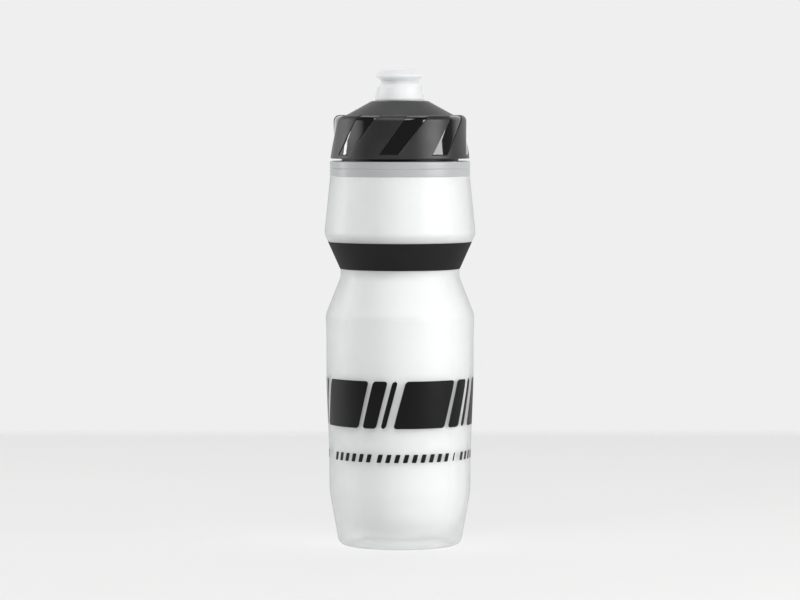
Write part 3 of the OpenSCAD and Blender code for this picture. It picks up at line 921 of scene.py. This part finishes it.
outer, inner = [], []
for row, ((r, z), (ru, zu)) in enumerate(zip(skin_rows, under_rows)):
    outside_window = max(0, FOOT_Z - z) if row < foot_row else max(0,
            WINDOW_END_R - r) if row > end_row else 0.0
    faces_out, faces_in = skin_columns(r, z), skin_columns(ru, zu)
    line, under = [], []
    for (a, near), (b, _) in zip(faces_out, faces_in):
        deep = on_axis(ru, b, zu)
        line.append(sunk(on_axis(r, a, z), deep,
                         edge_drop(math.hypot(near, outside_window), EDGE_R)))
        under.append(deep)
    outer.append(line)
    inner.append(under)
per_window = len(outer[0]) // WINDOWS
kept = np.ones((len(outer) - 1, len(outer[0])), bool)
for i in range(WINDOWS):
    first = (i + 1) * per_window - WINDOW_COLUMNS
    kept[foot_row:end_row, first:first + WINDOW_COLUMNS] = False
vertices, faces = sheet(outer, inner, kept, closed=True)
place("cap_skin", vertices, faces, "cap", soft_touch, "soft_skin", ["cap_grip"], smooth_deg=40)

# %% Fill the windows with glossy lands
LAND_GAP = 0.07
LAND_EDGE_R = 0.16

land_rows, land_foot, land_end = cap_line(LAND_SINK)
core_rows = cap_line(SKIN_T + 0.15)[0]
lands = []
for i in range(WINDOWS):
    outer, inner = [], []
    for row in range(land_foot, land_end + 1):
        (r, z), (ru, zu) = land_rows[row], core_rows[row]
        left, right = window_edges(r, z)
        mm = math.degrees(1 / r)
        steps = [0.0, 0.04, 0.09, LAND_EDGE_R]
        width = (right - left) / mm - 2 * LAND_GAP
        across = steps + [LAND_EDGE_R + (width - 2 * LAND_EDGE_R) * k / 8 for k in range(1, 8)] \
            + [width - s for s in steps[::-1]]
        from_end = min(z - land_rows[land_foot][1], r - WINDOW_END_R)
        line, under = [], []
        for d in across:
            angle = left + (LAND_GAP + d) * mm + 360 * i / WINDOWS
            deep = on_axis(ru, angle, zu)
            drop = edge_drop(max(0, min(d, width - d, from_end)), LAND_EDGE_R)
            line.append(sunk(on_axis(r, angle, z), deep, drop))
            under.append(deep)
        outer.append(line)
        inner.append(under)
    lands.append(sheet(outer, inner))
place("window_lands", *joined(lands), "cap", gloss_black, "gloss_cap", smooth_deg=50)

# %% [markdown]
# ### Hard shell
#
# Under the skin the hard shell is one turned part: the skirt with its thread, the deck, and the
# tower with a bead that stops the nozzle and a groove for its ring seal.

# %% Mould the hard shell
CAP_BORE_R = CREST_R + 0.6
SEAT_Z = NECK_TOP + 2.05
TOWER_R, TOWER_BORE_R = 6.0, 4.0
BEAD_R, BEAD_Z, BEAD_T = 6.75, 228.35, 0.8
SEAL_D = 1.6
TOWER_TOP = BEAD_Z + BEAD_T + SEAL_D + 0.6
shell_d = SKIN_T + 0.04

body = rounded([(CAP_RIM_R - shell_d, CAP_RIM, 0),
                (CAP_SIDE_R - 0.1 - shell_d, CAP_RIM + FLARE_H, 60),
                (CAP_SIDE_R - shell_d, SHOULDER_Z - shell_d, 2),
                (CREASE_OUT, SHOULDER_Z - shell_d, 0),
                (CREASE_IN, SHOULDER_Z - 0.15 - shell_d, 0), (CONE_TOP_R, DECK_Z - shell_d, 0),
                (BOSS_R, DECK_Z - shell_d, 0), (BOSS_R, DECK_Z, 0.2), (TOWER_R, DECK_Z, 0.4),
                (TOWER_R, BEAD_Z - 0.5, 0.2), (BEAD_R, BEAD_Z, 0.1), (BEAD_R, BEAD_Z + BEAD_T, 0.1),
                (TOWER_R - 0.6, BEAD_Z + BEAD_T, 0), (TOWER_R - 0.6, BEAD_Z + BEAD_T + SEAL_D, 0),
                (BEAD_R - 0.15, BEAD_Z + BEAD_T + SEAL_D, 0.1), (BEAD_R - 0.5, TOWER_TOP, 0.2),
                (TOWER_BORE_R, TOWER_TOP, 0.2), (TOWER_BORE_R, DECK_Z - 2.4, 0.3),
                (CONE_TOP_R - 1.4, DECK_Z - 2.4, 1),
                (MOUTH_R - 1, SEAT_Z + 1.2, 1), (MOUTH_R - 1, SEAT_Z, 0.2),
                (CAP_BORE_R, SEAT_Z, 0.3),
                (CAP_BORE_R, CAP_RIM + 0.8, 0.3), (CAP_BORE_R + 0.6, CAP_RIM, 0)], 8)
vertices, faces = turned(body)
place("cap_core", vertices, faces, "cap", gloss_black, "gloss_cap", ["cap_shell"])
vertices, faces = ridge(CAP_BORE_R, NECK_R + 0.6, NECK_TOP - 14, THREAD_START_DEG, 1.25)
place("cap_thread", vertices, faces, "cap", gloss_black, "gloss_cap")

# %% [markdown]
# ### Gasket and black neck ring
#
# A thin black ring of nitrile rubber lies round the neck's root, in the gap between the cap's rim
# and the collar, so the gap shows black; it stays on the bottle. Inside the cap, a flat silicone
# ring seals the cap on the neck's rim.
# Two fine ribs on each face let it seal with little force. It rises with the cap, so it rides on
# a body of its own.

# %% Gasket silicone
ring_rubber, coords = new_material("silicone_gasket")
dust = add(ring_rubber, "TexNoise", {"Scale": per_mm(1.5), "Detail": 3.0},
           {"Vector": (coords, "Object")})
dull = add(ring_rubber, "MapRange", {"To Min": 0.45, "To Max": 0.60}, {"Value": (dust, "Fac")})
pale = add(ring_rubber, "BsdfPrincipled",
           {"Base Color": linear("#D9DAD8"), "IOR": 1.43, "Subsurface Weight": 0.2,
            "Subsurface Radius": (1, 1, 1),
            "Subsurface Scale": 0.0008}, {"Roughness": (dull, "Result")})
add(ring_rubber, "OutputMaterial", links={"Surface": (pale, "BSDF")})

# %% Nitrile rubber
nitrile, coords = new_material("nitrile_ring")
flash = add(nitrile, "TexNoise", {"Scale": per_mm(0.8), "Detail": 2.0},
            {"Vector": (coords, "Object")})
greasy = add(nitrile, "MapRange", {"To Min": 0.35, "To Max": 0.55}, {"Value": (flash, "Fac")})
ring = add(nitrile, "BsdfPrincipled", {"Base Color": linear("#141415"), "IOR": 1.52},
           {"Roughness": (greasy, "Result")})
add(nitrile, "OutputMaterial", links={"Surface": (ring, "BSDF")})

# %% Stretch the black neck ring round the neck's root
dust_ring = rounded([(NECK_ROOT_R - 0.1, COLLAR_TOP + 0.02, 0),
                     (NECK_ROOT_R + 0.25, COLLAR_TOP + 0.02, 0.1),
                     (NECK_ROOT_R + 0.25, CAP_RIM + 0.3, 0.1),
                     (NECK_ROOT_R - 0.1, CAP_RIM + 0.3, 0)], 20)
vertices, faces = turned(dust_ring)
place("dust_ring", vertices, faces, "bottle", nitrile)

# %% Cut the gasket
RIB_IN, RIB_OUT = 26.6, 28.6
GASKET_OUT, GASKET_IN, GASKET_T = CAP_BORE_R - 0.3, MOUTH_R - 0.2, 2.0
low, high, rib = NECK_TOP, NECK_TOP + GASKET_T, 0.18
flat = [(GASKET_IN, low + rib, 0)]
for middle in (RIB_IN, RIB_OUT):
    flat += [(middle - 0.35, low + rib, 0.1), (middle - 0.15, low, 0.08),
             (middle + 0.15, low, 0.08),
             (middle + 0.35, low + rib, 0.1)]
flat += [(GASKET_OUT, low + rib, 0.25), (GASKET_OUT, high - rib, 0.25)]
for middle in (RIB_OUT, RIB_IN):
    flat += [(middle + 0.35, high - rib, 0.1), (middle + 0.15, high, 0.08),
             (middle - 0.15, high, 0.08),
             (middle - 0.35, high - rib, 0.1)]
flat += [(GASKET_IN, high - rib, 0)]
vertices, faces = turned(rounded(flat, 20))
place("gasket_ring", vertices, faces, "gasket", ring_rubber, "gasket_rubber", ["cap_gasket"])

# %% [markdown]
# ## Nozzle
#
# The mouthpiece is clear silicone, soft enough to bite. At its waist it is a few millimetres
# thick and looks milky; light soaks deep into it. Its top is a thin dished skin with a cross slit
# that opens when the bottle is squeezed. It is moulded over a stiff white sleeve, whose flange
# shows as a thin white line at the foot.

# %% Mouthpiece silicone
silicone, coords = new_material("silicone_moulded_clear")
breath = add(silicone, "TexNoise", {"Scale": per_mm(5), "Detail": 2.0},
             {"Vector": (coords, "Object")})
wetness = add(silicone, "MapRange", {"To Min": 0.30, "To Max": 0.42}, {"Value": (breath, "Fac")})
soft_wave = add(silicone, "Bump", {"Strength": 0.15, "Distance": 0.0002},
                {"Height": (breath, "Fac")})
# The faint white emission is painted light: it lifts the shaded underside of the lip.
bite = add(silicone, "BsdfPrincipled",
           {"Base Color": linear("#F1F3F4"), "IOR": 1.43, "Subsurface Weight": 0.5,
            "Subsurface Radius": (1.0, 1.0, 1.05), "Subsurface Scale": 0.0025, "Alpha": 0.66,
            "Emission Color": (1, 1, 1, 1), "Emission Strength": 0.03},
           {"Roughness": (wetness, "Result"), "Normal": (soft_wave, "Normal")})
add(silicone, "OutputMaterial", links={"Surface": (bite, "BSDF")})

sleeve_plastic, coords = new_material("pp_satin_white")
tool_marks = add(sleeve_plastic, "TexNoise", {"Scale": per_mm(2)}, {"Vector": (coords, "Object")})
brushed = add(sleeve_plastic, "MapRange", {"To Min": 0.28, "To Max": 0.38},
              {"Value": (tool_marks, "Fac")})
stiff = add(sleeve_plastic, "BsdfPrincipled", {"Base Color": linear("#E2E3E3"), "IOR": 1.49},
            {"Roughness": (brushed, "Result")})
add(sleeve_plastic, "OutputMaterial", links={"Surface": (stiff, "BSDF")})

# %% Mould the sleeve
SLEEVE_LOW = DECK_Z + 0.1
FLANGE_T = 0.8
LIP_TOP = SLEEVE_LOW + 1.15
ROOF, SLEEVE_TOP = TOWER_TOP + 0.25, TOWER_TOP + 1.65
SLEEVE_R, SLEEVE_BORE, FLANGE_R, HOLE_R = 8.35, 7.05, 12.3, 3.0
sleeve = rounded([(6.6, SLEEVE_LOW, 0), (FLANGE_R, SLEEVE_LOW, 0.2),
                  (FLANGE_R, SLEEVE_LOW + FLANGE_T, 0.2),
                  (SLEEVE_R, SLEEVE_LOW + FLANGE_T, 0.3), (SLEEVE_R, ROOF + 0.2, 0.1),
                  (SLEEVE_R + 0.7, ROOF + 0.6, 0.1),
                  (SLEEVE_R + 0.7, SLEEVE_TOP, 0.2), (HOLE_R, SLEEVE_TOP, 0.2), (HOLE_R, ROOF, 0.2),
                  (SLEEVE_BORE, ROOF, 0.2), (SLEEVE_BORE, LIP_TOP + 0.3, 0.1),
                  (6.25, LIP_TOP, 0.05),
                  (6.25, SLEEVE_LOW, 0)], 12)
vertices, faces = turned(sleeve)
place("nozzle_sleeve", vertices, faces, "nozzle", sleeve_plastic, "carrier_plastic",
      ["valve_carrier"])

# %% Mould the mouthpiece
NOZZLE_TOP = 237.0
HEM = SLEEVE_LOW + FLANGE_T
THROAT_Z = NOZZLE_TOP - 6.9
LIP_R, THROAT_R, SKIRT_R = 11.8, 9.5, 12.4
mouthpiece = (rounded([(SKIRT_R - 1.2, HEM, 0), (SKIRT_R - 0.1, HEM, 0.3),
                       (SKIRT_R - 1.4, THROAT_Z - 1.2, 2),
                       (THROAT_R, THROAT_Z - 0.2, 0.6), (THROAT_R, THROAT_Z + 1.6, 0.8),
                       (LIP_R, THROAT_Z + 3.6, 0.5),
                       (LIP_R - 0.1, THROAT_Z + 4.6, 0.6), (LIP_R - 2, NOZZLE_TOP, 0.6),
                       (6.2, NOZZLE_TOP, 0.6),
                       (5.2, NOZZLE_TOP - 1, 0.6), (0, NOZZLE_TOP - 1.4, 0)], 6)
              + rounded([(0, NOZZLE_TOP - 2.3, 0), (5.2, NOZZLE_TOP - 2, 0.4), (6, SLEEVE_TOP, 0),
                         (SLEEVE_R + 0.7, SLEEVE_TOP, 0), (SLEEVE_R + 0.7, ROOF + 0.6, 0),
                         (SLEEVE_R, ROOF + 0.2, 0),
                         (SLEEVE_R, THROAT_Z - 1.6, 0.4), (SKIRT_R - 2.5, THROAT_Z - 2.4, 1)], 10))
vertices, faces = turned(mouthpiece)
bite_piece = place("bite_mouthpiece", vertices, faces, "nozzle", silicone, "nozzle_silicone",
                   ["mouthpiece"])

# %% [markdown]
# The cross slit is cut after moulding, with two thin blades. In Blender two thin boxes do the
# same through a boolean, which is then applied so that only the cut part is left.

# %% Cut the cross slit
SLIT_LONG, SLIT_WIDE = 6.4, 0.24

blades = bmesh.new()
for turn_deg in (45, 135):
    made = bmesh.ops.create_cube(blades, size=1)["verts"]
    for v in made:
        v.co = Vector((v.co.x * SLIT_LONG * MM, v.co.y * SLIT_WIDE * MM, v.co.z * 3 * MM))
        a = math.radians(turn_deg)
        v.co = Vector((v.co.x * math.cos(a) - v.co.y * math.sin(a),
                       v.co.x * math.sin(a) + v.co.y * math.cos(a),
                       v.co.z + (NOZZLE_TOP - 1.5) * MM))
blade_mesh = bpy.data.meshes.new("blades")
blades.to_mesh(blade_mesh)
blade = bpy.data.objects.new("blades", blade_mesh)
bpy.context.scene.collection.objects.link(blade)
cut = bite_piece.modifiers.new("slit", "BOOLEAN")
cut.object, cut.operation, cut.solver = blade, "DIFFERENCE", "EXACT"
cut.use_self = True
bpy.context.view_layer.update()
slit_mesh = bpy.data.meshes.new_from_object(bite_piece.evaluated_get(bpy.context.evaluated_depsgraph_get()))
bite_piece.modifiers.clear()
bite_piece.data = slit_mesh
bpy.data.objects.remove(blade)
bite_piece.visible_shadow = False
print("mouthpiece with its slit:", len(slit_mesh.vertices), "vertices")

# %% [markdown]
# ## Valve inside the nozzle
#
# The plug that shuts the nozzle and the ring seal on the tower are small and plain, and their
# imported meshes already have the right shape. They only need their finishes: satin white
# polypropylene for the plug, and the neck ring's black nitrile rubber for the seal.

# %% Finish the valve
for node_name, finish in {"valve_core": sleeve_plastic, "valve_seal": nitrile}.items():
    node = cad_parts[node_name]
    if not node.material_slots:
        node.data.materials.append(finish)
    for held in node.material_slots:
        held.material = finish
    print(node_name, "keeps its packed mesh, in", finish.name)
